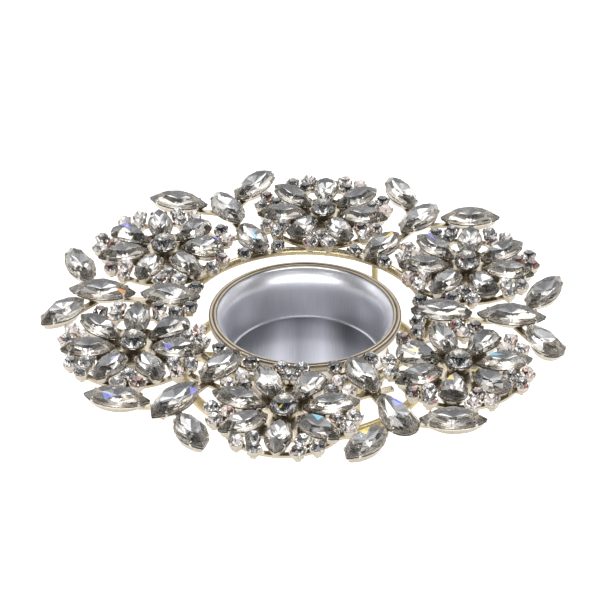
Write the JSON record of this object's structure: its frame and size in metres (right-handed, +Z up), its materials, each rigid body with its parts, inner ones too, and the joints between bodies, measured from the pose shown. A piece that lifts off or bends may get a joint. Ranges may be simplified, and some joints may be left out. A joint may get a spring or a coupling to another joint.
{
  "type": "candle ring",
  "caption": "Round candle ring: a wreath of faceted glass flowers and leaf stones in claw settings around a loose metal cup for a small candle.",
  "frame": {"origin": "middle of the footprint on the table", "axes": "+Z upwards, +X to the right and +Y away from the viewer of the picture"},
  "size_m": [0.149, 0.1484, 0.0265],
  "materials": {
    "cup_metal": "brushed",
    "plated_metal": "pale champagne plating",
    "cut_glass": "faceted and polished"
  },
  "bodies": {
    "wreath": {"base_ring": "plated_metal", "upper_ring": "plated_metal", "cup_seat": "plated_metal", "seat_ring": "plated_metal", "post_1": "plated_metal", "post_2": "plated_metal", "post_3": "plated_metal", "flower_plate_1": "plated_metal", "flower_plate_2": "plated_metal", "flower_plate_3": "plated_metal", "flower_plate_4": "plated_metal", "flower_plate_5": "plated_metal", "flower_plate_6": "plated_metal", "centre_stone_1": "cut_glass", "centre_stone_2": "cut_glass", "centre_stone_3": "cut_glass", "centre_stone_4": "cut_glass", "centre_stone_5": "cut_glass", "centre_stone_6": "cut_glass", "petal_stones_1": "cut_glass", "petal_stones_2": "cut_glass", "petal_stones_3": "cut_glass", "petal_stones_4": "cut_glass", "petal_stones_5": "cut_glass", "petal_stones_6": "cut_glass", "small_stones_1": "cut_glass", "small_stones_2": "cut_glass", "small_stones_3": "cut_glass", "small_stones_4": "cut_glass", "small_stones_5": "cut_glass", "small_stones_6": "cut_glass", "flower_settings_1": "plated_metal", "flower_settings_2": "plated_metal", "flower_settings_3": "plated_metal", "flower_settings_4": "plated_metal", "flower_settings_5": "plated_metal", "flower_settings_6": "plated_metal", "spray_frame_1": "plated_metal", "spray_frame_2": "plated_metal", "spray_frame_3": "plated_metal", "spray_frame_4": "plated_metal", "spray_frame_5": "plated_metal", "spray_frame_6": "plated_metal", "spray_stones_1": "cut_glass", "spray_stones_2": "cut_glass", "spray_stones_3": "cut_glass", "spray_stones_4": "cut_glass", "spray_stones_5": "cut_glass", "spray_stones_6": "cut_glass", "spray_settings_1": "plated_metal", "spray_settings_2": "plated_metal", "spray_settings_3": "plated_metal", "spray_settings_4": "plated_metal", "spray_settings_5": "plated_metal", "spray_settings_6": "plated_metal"},
    "cup": {"candle_cup": "cup_metal"}
  },
  "joints": [
    {"name": "cup_lift", "type": "slide", "parent": "wreath", "child": "cup", "axis": [0, 0, 1], "range_m": [0, 0.03]}
  ]
}
